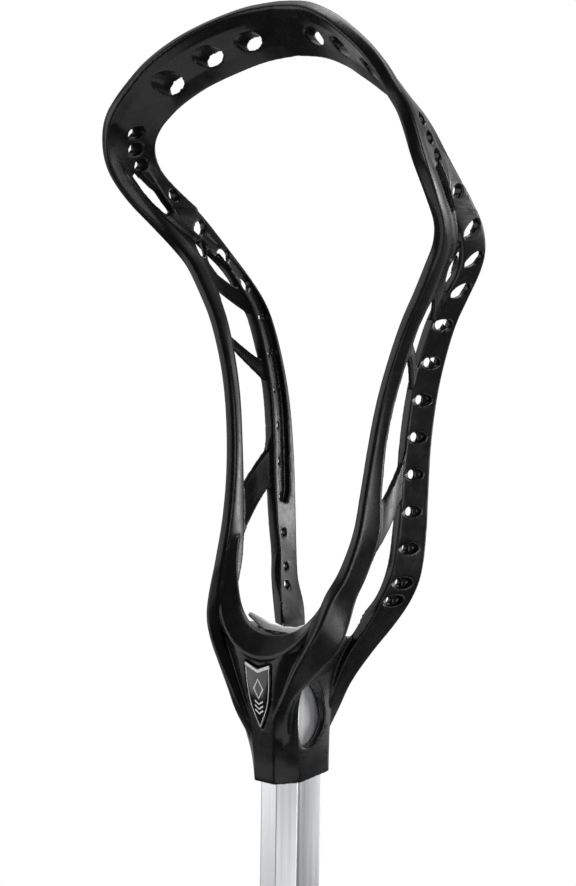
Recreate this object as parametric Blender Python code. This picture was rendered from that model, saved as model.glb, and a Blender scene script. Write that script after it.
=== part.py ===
"""A women's lacrosse stick, made of the pieces it comes apart into.

The origin is the centre of the butt end. +Z runs up the shaft to the head, the open face of
the head looks along -Y, and the whole stick is mirrored about X = 0. Lengths are written in
millimetres and turned into metres by MM. The head's own points are measured from the bottom
edge of its collar, COLLAR_Z above the butt end.
"""

import math

import bmesh
import bpy
from mathutils import Vector

MM = 0.001
GAP = 0.3

# Shaft: an eight-sided aluminium tube. Each pair is the (x, y) of a corner.
SHAFT_CORNERS = ((11.0, 7.3), (4.5, 13.4))
SHAFT_WALL = 1.3
SHAFT_BOTTOM_Z = 3.4
COLLAR_Z = 743.0
SHAFT_IN_HEAD = 44.0

# Butt cap: a rubber cup over the end of the shaft.
CAP_WALL = 2.4
CAP_FLOOR = 3.0
CAP_SLEEVE = 42.0

# Head: walls, holes and the lines that it is drawn on.
WEB = 2.8
SOCKET_DEPTH = SHAFT_IN_HEAD + 0.6
STATIONS = 44
ROUND_SIDES = 8

# Front edge and rear edge of the front rail, from the foot of the throat's V to the scoop.
FRONT_EDGE = (
    (1, -18.8, 13), (5.5, -19.8, 27), (11, -20.8, 38), (21, -20.6, 51), (27.5, -19.6, 60),
    (31, -17.8, 68), (33.6, -13.4, 81), (36.8, -8.6, 91), (39.2, -3.4, 107), (40.4, -0.6, 125),
    (42.2, 1.1, 142), (45.1, 2.4, 160), (49.7, 3.4, 177), (57, 3.8, 195), (64.5, 3.4, 208), (72, 2, 220),
    (79, -1.4, 228.5), (85, -7.6, 237), (89.2, -16.4, 246), (91.5, -24, 255), (92, -29, 263),
    (91, -32, 272), (88, -33.6, 281), (82, -34, 289), (75, -32.6, 297), (65, -31, 306),
    (51, -28, 314.6), (36, -23.5, 321.6), (18, -18.6, 327), (0, -16.6, 328.6),
)
FRONT_RAIL_REAR = (
    (8, -17, 13), (14.6, -17.6, 27), (20, -17.2, 38), (31, -12, 51), (34.6, -8.6, 60),
    (35.6, -5.2, 68), (35.4, -0.6, 81), (37.6, 3.6, 91), (41.4, 7.6, 107), (42.3, 7.6, 125),
    (43.4, 7.8, 142), (46.3, 9, 160), (51, 10.2, 177), (57.4, 11, 195), (64.6, 10.8, 208), (71.6, 9.4, 220),
    (78, 6, 228.5), (83.4, 0, 237), (87.4, -9, 246), (89.6, -17, 255), (90.2, -23, 263),
    (89.4, -26.6, 272), (86.6, -28.2, 281), (80.4, -28.6, 288), (73.4, -27.6, 295.4), (63.6, -26.4, 303),
    (50, -23.8, 310.8), (35, -20, 317.2), (17.6, -15.4, 322.2), (0, -13.4, 323.8),
)
# The rear rail, from the back of the throat to the scoop.
REAR_RAIL_FRONT = (
    (9, 7, 10), (11.6, 7.6, 26), (15, 9, 40), (20, 12, 54), (26.5, 16, 66),
    (32.2, 20, 79), (35.0, 22.6, 91), (37.4, 22.8, 105), (39.4, 22.8, 125), (40.4, 23, 142),
    (42.4, 23.4, 160), (46.4, 23.4, 177), (53.2, 23.4, 195), (60.8, 22.8, 208), (68.8, 20.8, 220),
    (75.4, 14.6, 229), (80.6, 6.4, 238), (84.4, -2, 247), (86.4, -8, 256),
    (87, -13.6, 264), (85.4, -17.6, 273), (80.4, -18.4, 281.4), (73, -17.6, 288), (67, -17, 293),
    (58.6, -16, 298.4), (48.4, -14.4, 303.6), (35, -11.4, 309), (18, -8, 313.4), (0, -6.4, 314.8),
)
REAR_EDGE = (
    (8, 13, 10), (10.4, 15, 26), (14.6, 19, 40), (21, 26, 54), (28, 32, 66),
    (35, 34.8, 77), (38.6, 37, 88), (40.2, 37.8, 105), (41, 37.6, 124), (42.2, 37.2, 142),
    (44.8, 36.9, 160), (49, 36.5, 177), (55.6, 36, 195), (62.8, 35.2, 208), (69.6, 33.5, 220),
    (75.4, 29.5, 229), (80.7, 22, 238), (84.1, 12, 247), (85.7, 1.4, 256),
    (85.4, -6, 264), (82.6, -10.6, 273), (76.4, -12, 281), (68.6, -12, 286.6), (61.4, -12, 290.6),
    (54, -11, 294.6), (46, -9.6, 298.4), (34, -6, 303.4), (18, -3, 308), (0, -1.6, 310),
)
# The U-shaped lip at the mouth of the throat.
LIP_FRONT = (
    (37.4, -5, 96), (33.4, -12.4, 80), (26.6, -16.6, 67.4), (18, -18.2, 59.5), (9, -18.6, 55),
    (0, -18.6, 53.5),
)
LIP_REAR = (
    (36.8, 2, 100), (31.6, -3.6, 87), (24.6, -7.6, 75), (16.5, -10, 67.4), (8, -11.2, 63.6), (0, -11.4, 62.4),
)
# Throat sections: height, then the corners of one half, front to back.
THROAT_SECTIONS = (
    (0, ((5.9, -16.5), (14.1, -8.8), (14.1, 8.8), (5.9, 16.5))),
    (10, ((6.0, -16.9), (14.6, -11.4), (14.1, 8.8), (5.9, 16.6))),
    (22, ((7.0, -17.6), (17.0, -14.6), (14.4, 9.4), (6.2, 17.2))),
    (34, ((8.5, -18.8), (21.5, -17.0), (15.2, 11.0), (8.0, 19.0))),
    (46, ((11.0, -20.0), (28.0, -17.6), (18.0, 14.6), (11.5, 23.0))),
    (56, ((14.0, -20.4), (32.0, -17.0), (22.0, 17.6), (15.0, 27.0))),
    (63, ((18.0, -19.0), (33.6, -14.6), (26.0, 20.0), (18.5, 30.0))),
)
COLLAR_SLANT = 0.155
# Windows in the side wall, in (y, z), each with the radius of its corners.
WINDOWS = (
    (((-17.6, 259.6), (-18.2, 258.0), (-6.0, 246.2), (-0.4, 241.6), (2.0, 243.4), (-4.0, 248.4)), 0.8),
    (((10.6, 230.6), (13.6, 230.8), (13.6, 223.2), (10.8, 222.8)), 1.0),
    (((15.6, 228.4), (18.6, 226.0), (23.4, 216.0), (24.0, 207.0), (15.8, 214.8), (13.6, 220.4)), 1.8),
    (((12.8, 208.6), (24.2, 196.6), (23.4, 177.0), (11.8, 190.6)), 1.4),
    (((11.6, 180.4), (23.6, 167.4), (24.2, 154.6), (19.6, 136.6), (8.4, 119.8), (9.4, 150.0)), 1.4),
    (((22.4, 121.4), (7.4, 99.6), (4.4, 90.0), (-1.6, 77.0), (1.6, 63.0), (8.4, 56.4), (15.0, 60.4),
      (19.6, 80.0), (23.2, 96.0)), 1.4),
)
# String holes: (y, z) in the rear rail and (x, y, z) in the band and the scoop, with their radii.
RAIL_HOLES = tuple((28.2, 195.5 - 16.0 * step) for step in range(7)) + ((27.4, 84.4), (25.2, 76.6))
RAIL_HOLE_R = 2.2
BAND_HOLES = ((90, -18.0, 277.5), (90, -16.0, 270.0), (90, -13.0, 262.8), (90, 2.0, 249.0))
BAND_HOLE_R = 2.4
SCOOP_HOLES = ((62.1, -16.5, 302.2), (42.7, -11.5, 312.0), (21.2, -7.4, 318.4))
SCOOP_HOLE_R = 4.2
OVALS = (((17.6, 235.2), 48), ((27.4, 223.6), 34), ((30.2, 210.0), 22))
OVAL_HALF = (4.5, 2.6)
TEARDROP = (
    (-14.5, 38.5), (-15.4, 30), (-15, 24), (-13, 18), (-10.4, 13.6), (-5, 12.4), (0, 15),
    (3.2, 20.5), (3.2, 25), (1.5, 31), (-2.5, 36.5), (-8.5, 40.5),
)

# Ball stop, badge and screw.
# The seat's U just behind the lip, as (x, z), and how steeply it falls to the rear.
SEAT_FLOOR = ((60, 80), (34, 69.6), (28, 67), (21, 64.6), (12, 61.6), (0, 60))
SEAT_FRONT_Y = -10.4
SEAT_REAR_Y = 45.0
SEAT_SLOPE = 0.36
# The lip's own U on the throat, as (x, z at its crest, z at LIP_FOOT_Y).
LIP_SEAT = ((60, 120, 100), (32, 80, 63.6), (24, 71, 56), (16, 66, 50), (8, 63.2, 46), (0, 62, 44.4))
LIP_CREST_Y = -11.0
LIP_FOOT_Y = -26.0
PAD_THICK = 6.2
PAD_FRONT_Y = -8.4
PAD_REAR_Y = 8.0
PAD_CRESCENT = 11.0
PAD_HALF_WIDTH = 21.0
BADGE_OUTLINE = ((0, 21.5), (5.0, 31.5), (6.8, 40.5), (7.2, 49.8), (0, 46.8))
BADGE_THICK = 1.6
BADGE_Y = -17.6
BADGE_LEAN = 0.11
SCREW_Z = 20.0
SCREW_R = 2.1
SCREW_HEAD_R = 4.2
SCREW_HEAD = 2.2
SCREW_LENGTH = 10.0
SCREW_FACE_Y = 17.0


def clear_scene():
    for item in list(bpy.data.objects):
        bpy.data.objects.remove(item, do_unlink=True)


def plastic(name, colour, roughness, metallic=0.0):
    material = bpy.data.materials.new(name)
    material.use_nodes = True
    shader = material.node_tree.nodes["Principled BSDF"]
    shader.inputs["Base Color"].default_value = (*colour, 1.0)
    shader.inputs["Roughness"].default_value = roughness
    shader.inputs["Metallic"].default_value = metallic
    return material


def solid(name, vertices, faces, material=None):
    """A closed mesh object from points in millimetres, with its faces turned outward."""
    mesh = bpy.data.meshes.new(name)
    mesh.from_pydata([Vector(point) * MM for point in vertices], [], faces)
    shape = bmesh.new()
    shape.from_mesh(mesh)
    bmesh.ops.recalc_face_normals(shape, faces=shape.faces)
    shape.to_mesh(mesh)
    shape.free()
    item = bpy.data.objects.new(name, mesh)
    if material:
        mesh.materials.append(material)
    bpy.context.collection.objects.link(item)
    return item


def apply_boolean(target, tools, operation):
    """Applies one exact Boolean between target and all the tools, then removes the tools."""
    group = bpy.data.collections.new(operation)
    bpy.context.scene.collection.children.link(group)
    for tool in tools:
        bpy.context.collection.objects.unlink(tool)
        group.objects.link(tool)
    modifier = target.modifiers.new(operation, "BOOLEAN")
    modifier.operation = operation
    modifier.solver = "EXACT"
    modifier.operand_type = "COLLECTION"
    modifier.collection = group
    depsgraph = bpy.context.evaluated_depsgraph_get()
    result = bpy.data.meshes.new_from_object(target.evaluated_get(depsgraph))
    target.modifiers.clear()
    target.data = result
    for tool in tools:
        bpy.data.objects.remove(tool, do_unlink=True)
    bpy.data.collections.remove(group)


def loft(name, sections, closed_ends=True):
    """Skins equal-length rings of points, with flat ends."""
    count = len(sections[0])
    vertices = [point for ring in sections for point in ring]
    faces = []
    for row in range(len(sections) - 1):
        for column in range(count):
            after = (column + 1) % count
            low = row * count
            faces.append((low + column, low + after, low + count + after, low + count + column))
    if closed_ends:
        faces.append(tuple(range(count))[::-1])
        faces.append(tuple(range(len(vertices) - count, len(vertices))))
    return solid(name, vertices, faces)


def spline(points, steps):
    """Points at equal steps along a smooth curve through the given ones."""
    points = [Vector(point) for point in points]
    first = points[0] * 2 - points[1]
    last = points[-1] * 2 - points[-2]
    chain = [first] + points + [last]
    dense = []
    for index in range(1, len(chain) - 2):
        before, start, end, after = chain[index - 1:index + 3]
        for part in range(8):
            t = part / 8
            dense.append(0.5 * ((2 * start) + (end - before) * t
                                + (2 * before - 5 * start + 4 * end - after) * t * t
                                + (3 * start - before - 3 * end + after) * t ** 3))
    dense.append(points[-1])
    lengths = [0.0]
    for a, b in zip(dense, dense[1:]):
        lengths.append(lengths[-1] + (b - a).length)
    result = []
    place = 0
    for step in range(steps + 1):
        goal = lengths[-1] * step / steps
        while place < len(dense) - 2 and lengths[place + 1] < goal:
            place += 1
        span = lengths[place + 1] - lengths[place]
        result.append(dense[place].lerp(dense[place + 1], (goal - lengths[place]) / span))
    return result


def past_centre(points):
    """The curve with one more point, the mirror image of its last but one, beyond X = 0."""
    return points + [Vector((-points[-2].x, points[-2].y, points[-2].z))]


def ribbon(name, edge_a, edge_b, thickness, bow=0.0):
    """A strip between two edge curves, with chamfered long edges and, if asked, a bowed middle."""
    rings = []
    last = len(edge_a) - 1
    for index, (a, b) in enumerate(zip(edge_a, edge_b)):
        ahead = min(index + 1, last)
        behind = max(index - 1, 0)
        along = edge_a[ahead] + edge_b[ahead] - edge_a[behind] - edge_b[behind]
        across = (b - a).normalized()
        half = across.cross(along).normalized() * thickness / 2
        inset = across * thickness * 0.3
        ring = [a + half * 0.4, a + inset + half, b - inset + half, b + half * 0.4]
        ring += [b - half * 0.4, b - inset - half, a + inset - half, a - half * 0.4]
        if bow:
            middle = (a + b) / 2 + half.normalized() * bow
            ring.insert(2, middle + half)
            ring.insert(7, middle - half)
        rings.append(ring)
    return loft(name, rings)


def prism_x(name, outline, low, high):
    """A column along X with an outline in (y, z)."""
    return loft(name, [[(x, y, z) for y, z in outline] for x in (low, high)])


def rounded(outline, radius, arc_steps=3):
    """The outline with each corner replaced by an arc."""
    result = []
    count = len(outline)
    for index in range(count):
        corner = Vector(outline[index])
        back = Vector(outline[index - 1]) - corner
        ahead = Vector(outline[(index + 1) % count]) - corner
        half_angle = back.angle(ahead) / 2
        reach = min(radius / math.tan(half_angle), back.length * 0.45, ahead.length * 0.45)
        start = corner + back.normalized() * reach
        end = corner + ahead.normalized() * reach
        for step in range(arc_steps + 1):
            t = step / arc_steps
            point = start * (1 - t) ** 2 + corner * 2 * t * (1 - t) + end * t * t
            result.append((point.x, point.y))
    return result


def rod(name, start, end, radius, sides=ROUND_SIDES, squash=(1.0, 1.0), turn=0.0):
    """A straight round bar between two points; squash makes it oval."""
    start = Vector(start)
    end = Vector(end)
    axis = (end - start).normalized()
    side = axis.orthogonal().normalized()
    if abs(axis.x) > 0.9:
        side = Vector((0, 1, 0))
    other = axis.cross(side)
    rings = []
    for centre in (start, end):
        ring = []
        for step in range(sides):
            angle = math.tau * step / sides
            u = math.cos(angle) * radius * squash[0]
            v = math.sin(angle) * radius * squash[1]
            ring.append(centre + side * (u * math.cos(turn) - v * math.sin(turn))
                        + other * (u * math.sin(turn) + v * math.cos(turn)))
        rings.append(ring)
    return loft(name, rings)


def octagon(offset, z):
    """The shaft's section moved outward by offset, at height z."""
    (x0, y0), (x1, y1) = SHAFT_CORNERS
    slope = math.atan2(y1 - y0, x0 - x1)
    shift = offset * math.tan(slope / 2)
    rise = offset * math.tan((math.pi / 2 - slope) / 2)
    x0 += offset
    y0 += rise
    x1 += shift
    y1 += offset
    quarter = [(x0, y0), (x1, y1)]
    ring = quarter + [(-x, y) for x, y in reversed(quarter)]
    ring += [(-x, -y) for x, y in ring]
    return [(x, y, z) for x, y in ring]


def head_points(rows):
    return [Vector((x, y, z + COLLAR_Z)) for x, y, z in rows]


def head_edge(rows, steps=STATIONS):
    return past_centre(spline(head_points(rows), steps))


def make_throat():
    rings = []
    for height, corners in THROAT_SECTIONS:
        slant = 0.0 if height else COLLAR_SLANT
        ring = [(x, y, height + slant * y + COLLAR_Z) for x, y in corners]
        ring += [(-x, y, z) for x, y, z in reversed(ring)]
        rings.append(ring)
    return loft("throat", rings)


def seat_height(x, y):
    """Height of the seat above the collar's edge: a U across the throat that falls to the rear."""
    x = abs(x)
    for (x0, z0), (x1, z1) in zip(SEAT_FLOOR, SEAT_FLOOR[1:]):
        if x >= x1:
            z = z1 + (z0 - z1) * (x - x1) / (x0 - x1)
            break
    return z - SEAT_SLOPE * (y - SEAT_FRONT_Y)


def across(rows):
    """The rows given for X >= 0, outermost first, repeated for both sides from left to right."""
    return [(-x, *rest) for x, *rest in rows] + [(x, *rest) for x, *rest in reversed(rows[:-1])]


def seat_cutters():
    """What is cut from the throat's top: the slope in front of the lip's crest, then the seat."""
    lip = across(LIP_SEAT)
    foot = [(x, LIP_FOOT_Y, low + COLLAR_Z) for x, _, low in lip]
    crest = [(x, LIP_CREST_Y, high + COLLAR_Z) for x, high, _ in lip]
    seat = [[(x, y, seat_height(x, y) + COLLAR_Z) for x, _ in across(SEAT_FLOOR)]
            for y in (SEAT_FRONT_Y, SEAT_REAR_Y)]
    return [loft("lip_slope", [foot, crest]), loft("seat", seat)]


def side_cutters():
    """Windows, string holes and ovals for the right side wall; each spans the wall along X."""
    cutters = []
    for outline, radius in WINDOWS:
        outline = [(y, z + COLLAR_Z) for y, z in rounded(outline, radius)]
        cutters.append(prism_x("window", outline, 12, 110))
    for y, z in RAIL_HOLES:
        place = Vector((0, y, z + COLLAR_Z))
        cutters.append(rod("hole", place + Vector((20, 0, 0)), place + Vector((110, 0, 0)), RAIL_HOLE_R))
    for x, y, z in BAND_HOLES:
        place = Vector((x, y, z + COLLAR_Z))
        reach = Vector((22, 4, 0))
        cutters.append(rod("hole", place - reach, place + reach, BAND_HOLE_R))
    for (y, z), angle in OVALS:
        place = Vector((50, y, z + COLLAR_Z))
        reach = Vector((60, 0, 0))
        cutters.append(rod("oval", place, place + reach, 1.0, 10, OVAL_HALF, math.radians(angle)))
    for x, y, z in SCOOP_HOLES:
        place = Vector((x, y, z + COLLAR_Z))
        reach = Vector((x * 0.08, 9, 7))
        cutters.append(rod("scoop_hole", place - reach, place + reach, SCOOP_HOLE_R, 10))
    teardrop = [(y, z + COLLAR_Z) for y, z in TEARDROP]
    cutters.append(prism_x("teardrop", teardrop, 8, 40))
    return cutters


def mirror_half(item):
    """Keeps the half at X > 0, closes the whole with its mirror image and welds the seam."""
    shape = bmesh.new()
    shape.from_mesh(item.data)
    geometry = shape.verts[:] + shape.edges[:] + shape.faces[:]
    bmesh.ops.bisect_plane(shape, geom=geometry, plane_co=(0, 0, 0), plane_no=(1, 0, 0),
                           clear_inner=True, dist=1e-7)
    for vertex in shape.verts:
        if abs(vertex.co.x) < 2e-7:
            vertex.co.x = 0.0
    bmesh.ops.mirror(shape, geom=shape.verts[:] + shape.edges[:] + shape.faces[:],
                     axis="X", merge_dist=1e-7)
    bmesh.ops.recalc_face_normals(shape, faces=shape.faces)
    shape.to_mesh(item.data)
    shape.free()


def make_head():
    """The head is one moulding: throat, lip, rails and web joined, then pierced."""
    front_edge = head_edge(FRONT_EDGE)
    front_rail_rear = head_edge(FRONT_RAIL_REAR)
    rear_rail_front = head_edge(REAR_RAIL_FRONT)
    rear_edge = head_edge(REAR_EDGE)
    web_a = [a.lerp(b, 0.04) for a, b in zip(front_edge, rear_edge)]
    web_b = [a.lerp(b, 0.96) for a, b in zip(front_edge, rear_edge)]
    head = make_throat()
    apply_boolean(head, seat_cutters(), "DIFFERENCE")
    strips = [
        ribbon("web", web_a, web_b, WEB, 2.0),
        ribbon("rear_rail", rear_rail_front, rear_edge, 4.6),
        ribbon("front_rail", front_edge, front_rail_rear, 4.4),
        ribbon("lip", head_edge(LIP_FRONT, 10), head_edge(LIP_REAR, 10), 4.0),
    ]
    apply_boolean(head, strips, "UNION")
    socket = loft("socket", [octagon(GAP, COLLAR_Z - 5), octagon(GAP, COLLAR_Z + SOCKET_DEPTH)])
    place = Vector((0, 0, COLLAR_Z + SCREW_Z))
    spot = rod("spot_face", place + Vector((0, SCREW_FACE_Y, 0)), place + Vector((0, 40, 0)),
               SCREW_HEAD_R + 2 * GAP, 16)
    recess = badge_prism("recess", GAP, BADGE_Y - 20, BADGE_Y + GAP)
    apply_boolean(head, side_cutters() + [socket, screw_path(), spot, recess], "DIFFERENCE")
    mirror_half(head)
    return head


def make_shaft():
    """The aluminium tube, open at both ends, with the screw's hole in its rear face."""
    low, high = SHAFT_BOTTOM_Z, COLLAR_Z + SHAFT_IN_HEAD
    shaft = loft("shaft", [octagon(0, low), octagon(0, high)])
    bore = loft("bore", [octagon(-SHAFT_WALL, low - 5), octagon(-SHAFT_WALL, high + 5)])
    apply_boolean(shaft, [bore, screw_path()], "DIFFERENCE")
    return shaft


def make_butt_cap():
    """The rubber cap, a cup that grips the end of the shaft."""
    outside = GAP + CAP_WALL
    cap = loft("butt_cap", [octagon(outside - 1.5, 0), octagon(outside, 1.4),
                            octagon(outside, CAP_SLEEVE - 2), octagon(outside - 1.0, CAP_SLEEVE)])
    cup = loft("cup", [octagon(GAP, CAP_FLOOR), octagon(GAP, CAP_SLEEVE + 5)])
    apply_boolean(cap, [cup], "DIFFERENCE")
    return cap


def make_ball_stop():
    """The foam pad on the seat: a crescent in plan, bent to the seat's U."""
    count = 12
    rings = []
    for step in range(count + 1):
        x = PAD_HALF_WIDTH * (2 * step / count - 1)
        rear_y = PAD_REAR_Y - PAD_CRESCENT * (x / PAD_HALF_WIDTH) ** 2
        lean = Vector((seat_height(x - 1, 0) - seat_height(x + 1, 0), 2 * SEAT_SLOPE, 2)).normalized()
        ring = []
        for y, lift in ((PAD_FRONT_Y, GAP), (rear_y, GAP), (rear_y, PAD_THICK), (PAD_FRONT_Y, PAD_THICK)):
            ring.append(Vector((x, y, seat_height(x, y) + COLLAR_Z)) + lean * lift)
        rings.append(ring)
    return loft("ball_stop", rings)


def badge_prism(name, grow, front, rear):
    """The shield outline between two Y planes; grow widens it."""
    right = [(x * (1 + grow / 7.2) if x else 0, z) for x, z in BADGE_OUTLINE]
    right[0] = (0, right[0][1] - grow * 1.6)
    right[3] = (right[3][0], right[3][1] + grow)
    right[4] = (0, right[4][1] + grow)
    outline = right + [(-x, z) for x, z in reversed(right[1:-1])]
    lean = [BADGE_LEAN * (z - outline[0][1]) for _, z in outline]
    return loft(name, [[(x, y - d, z + COLLAR_Z) for (x, z), d in zip(outline, lean)] for y in (front, rear)])


def make_badge():
    return badge_prism("badge", 0, BADGE_Y - BADGE_THICK, BADGE_Y)


def screw_path():
    """Clearance around the screw's shank, from the shaft's bore out through the collar."""
    place = Vector((0, 0, COLLAR_Z + SCREW_Z))
    return rod("screw_path", place + Vector((0, 6, 0)), place + Vector((0, 30, 0)), SCREW_R + GAP, 12)


def make_screw():
    """The screw that holds the head on, put in from the back of the collar."""
    face = SCREW_FACE_Y + GAP
    place = Vector((0, 0, COLLAR_Z + SCREW_Z))
    screw = rod("head_screw", place + Vector((0, face - SCREW_LENGTH, 0)),
                place + Vector((0, face + 0.6, 0)), SCREW_R, 12)
    head = rod("screw_head", place + Vector((0, face, 0)),
               place + Vector((0, face + SCREW_HEAD, 0)), SCREW_HEAD_R, 16)
    apply_boolean(screw, [head], "UNION")
    slots = []
    for across in (Vector((1, 0, 0)), Vector((0, 0, 1))):
        centre = place + Vector((0, face + SCREW_HEAD, 0))
        slots.append(box("slot", centre, across * 5.2 + Vector((0.9, 2.4, 0.9))))
    apply_boolean(screw, slots, "DIFFERENCE")
    return screw


def box(name, centre, size):
    ring = [(-1, -1), (1, -1), (1, 1), (-1, 1)]
    rings = []
    for z in (-1, 1):
        rings.append([centre + Vector((x * size.x, y * size.y, z * size.z)) / 2 for x, y in ring])
    return loft(name, rings)


def main():
    clear_scene()
    black = plastic("black_nylon", (0.012, 0.012, 0.013), 0.28)
    finish = {
        "head_frame": black,
        "ball_stop": plastic("white_foam", (0.78, 0.78, 0.77), 0.85),
        "badge": plastic("badge_enamel", (0.01, 0.01, 0.011), 0.12),
        "head_screw": plastic("zinc_steel", (0.55, 0.55, 0.56), 0.35, 1.0),
        "shaft": plastic("satin_aluminium", (0.72, 0.73, 0.75), 0.32, 1.0),
        "butt_cap": plastic("black_rubber", (0.02, 0.02, 0.02), 0.75),
    }
    pieces = (make_head(), make_ball_stop(), make_badge(), make_screw(), make_shaft(), make_butt_cap())
    for name, piece in zip(finish, pieces):
        piece.name = name
        piece.data.name = name
        piece.data.materials.clear()
        piece.data.materials.append(finish[name])


main()
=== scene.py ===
"""The finished look of a women's lacrosse stick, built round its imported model.

Lengths are in millimetres and turned into metres by MM. The head's own points are measured from
the bottom edge of its collar. +X is the stick's left-right axis, the open face looks along -Y,
and the head is mirrored about X = 0.
"""

import math

import bmesh
import bpy
import numpy as np
from mathutils import Matrix, Vector


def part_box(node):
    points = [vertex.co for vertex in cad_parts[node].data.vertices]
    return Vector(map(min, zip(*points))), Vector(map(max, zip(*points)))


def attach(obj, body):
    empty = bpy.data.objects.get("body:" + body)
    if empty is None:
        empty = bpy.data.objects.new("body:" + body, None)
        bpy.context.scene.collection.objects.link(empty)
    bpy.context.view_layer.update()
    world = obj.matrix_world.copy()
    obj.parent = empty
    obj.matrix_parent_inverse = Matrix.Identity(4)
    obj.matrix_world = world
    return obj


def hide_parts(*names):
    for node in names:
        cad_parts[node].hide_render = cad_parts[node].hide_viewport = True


MM = 0.001
# The clearance between neighbouring pieces, and how far a cutter reaches past what it cuts.
GAP = 0.3
CLEAR = 5.0

# How finely the shapes are made.
SPLINE_STEPS = 12
CURVE_STEPS = 48
BAR_ARC = 3
OCTAGON_ARC = 4
STATIONS = 330
LIP_STATIONS = 60
THROAT_STATIONS = 40
EDGE_SMOOTHING = 4
HEAD_VOXEL = 0.52
HEAD_TRIANGLES = 180000
# A rounded corner takes up at most this share of a side.
CORNER_LIMIT = 0.45
# Points this close to the mirror plane, in metres, are joined to their images.
MERGE = 1e-7

# Half of the head's four long edges, from the throat to the middle of the scoop.
FRONT_EDGE = (
    (4, -13, 2), (4.6, -15.6, 12), (8.6, -18.8, 27), (14.6, -19.6, 38), (22.2, -20.4, 51), (27.5, -19.6, 60),
    (31, -17.8, 68), (33.6, -13.4, 81), (36.8, -8.6, 91), (39.2, -3.4, 107), (40.4, -0.6, 125),
    (42.2, 1.1, 142), (45.1, 2.4, 160), (49.7, 3.4, 177), (57, 3.8, 195), (64.5, 3.4, 208), (72, 2, 220),
    (79, -1.4, 228.5), (85, -7.6, 237), (89.2, -16.4, 246), (91.5, -24, 255), (92, -29, 263),
    (91, -32, 272), (88, -33.6, 281), (82, -34, 289), (75, -32.6, 297), (65, -31, 306),
    (51, -28, 314.6), (36, -23.5, 321.6), (18, -18.6, 327), (0, -16.6, 328.6),
)
FRONT_RAIL_REAR = (
    (9.6, -10, 2), (11.4, -12.8, 12), (15.4, -17, 27), (20, -17.2, 38), (30, -13, 51), (34.6, -8.6, 60),
    (35.6, -5.2, 68), (35.4, -0.6, 81), (37.6, 3.6, 91), (41.4, 7.6, 107), (42.3, 7.6, 125),
    (43.4, 7.8, 142), (46.3, 9, 160), (51, 10.2, 177), (57.4, 11, 195), (64.6, 10.8, 208), (71.6, 9.4, 220),
    (78, 6, 228.5), (83.4, 0, 237), (87.4, -9, 246), (89.6, -17, 255), (90.2, -23, 263),
    (89.4, -26.6, 272), (86.6, -28.2, 281), (80.4, -28.6, 288), (73.4, -27.6, 295.4), (63.6, -26.4, 303),
    (50, -23.8, 310.8), (35, -20, 317.2), (17.6, -15.4, 322.2), (0, -13.4, 323.8),
)
REAR_RAIL_FRONT = (
    (8, 5.4, 6), (11.6, 7.6, 26), (15, 9, 40), (20, 12, 54), (26.5, 16, 66),
    (32.2, 20, 79), (35.0, 22.6, 91), (37.4, 22.8, 105), (39.4, 22.8, 125), (40.4, 23, 142),
    (42.4, 23.4, 160), (46.4, 23.4, 177), (53.2, 23.4, 195), (60.8, 22.8, 208), (68.8, 20.8, 220),
    (75.4, 14.6, 229), (80.6, 6.4, 238), (84.4, -2, 247), (86.4, -8, 256),
    (87, -13.6, 264), (85.4, -17.6, 273), (80.4, -18.4, 281.4), (73, -17.6, 288), (67, -17, 293),
    (58.6, -16, 298.4), (48.4, -14.4, 303.6), (35, -11.4, 309), (18, -8, 313.4), (0, -6.4, 314.8),
)
REAR_EDGE = (
    (6.4, 10.6, 6), (10.4, 15, 26), (14.6, 19, 40), (21, 26, 54), (28, 32, 66),
    (35, 34.8, 77), (38.6, 37, 88), (40.2, 37.8, 105), (41, 37.6, 124), (42.2, 37.2, 142),
    (44.8, 36.9, 160), (49, 36.5, 177), (55.6, 36, 195), (62.8, 35.2, 208), (69.6, 33.5, 220),
    (75.4, 29.5, 229), (80.7, 22, 238), (84.1, 12, 247), (85.7, 1.4, 256),
    (85.4, -6, 264), (82.6, -10.6, 273), (76.4, -12, 281), (68.6, -12, 286.6), (61.4, -12, 290.6),
    (54, -11, 294.6), (46, -9.6, 298.4), (34, -6, 303.4), (18, -3, 308), (0, -1.6, 310),
)
# The U-shaped lip at the mouth of the throat.
LIP_FRONT = (
    (37.4, -5, 96), (33.6, -12.8, 79.6), (27.4, -17.6, 65.8), (18.6, -19.8, 56.8), (9.2, -20.6, 52),
    (0, -20.8, 50.4),
)
LIP_REAR = (
    (36.8, 2, 100), (31.6, -3.8, 87), (24.6, -8.2, 73.2), (16.5, -10.8, 65.4), (8, -12, 62), (0, -12.2, 60.8),
)
# Throat sections: height, then the corners of one half, front to back.
THROAT_SECTIONS = (
    (0, ((5.9, -16.5), (14.1, -8.8), (14.1, 8.8), (5.9, 16.5))),
    (10, ((6.0, -17.2), (14.6, -11.0), (14.1, 8.8), (5.9, 16.6))),
    (22, ((7.0, -18.4), (16.6, -14.0), (14.2, 9.0), (6.2, 17.2))),
    (34, ((8.5, -19.8), (19.4, -16.2), (14.4, 10.0), (8.0, 19.0))),
    (46, ((11.0, -21.0), (23.6, -16.8), (15.6, 13.0), (11.0, 22.6))),
    (56, ((14.0, -21.2), (27.6, -16.2), (18.4, 15.4), (14.0, 26.4))),
    (63, ((18.0, -19.4), (30.0, -14.4), (22.4, 18.4), (17.6, 29.4))),
)
# The collar's lower edge rises towards the rear, by a slant that fades out at this height.
COLLAR_SLANT = 0.155
COLLAR_SLANT_HEIGHT = 6
COLLAR_HALF_DEPTH = 16.5

# The head's strips. A share is part of the way from the throat to the middle of the scoop: the
# shoulder ends before the first of these shares, and the channel before the second.
SHOULDER_END_SHARE = 0.66
SPAN_SHARE = 0.7
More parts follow.
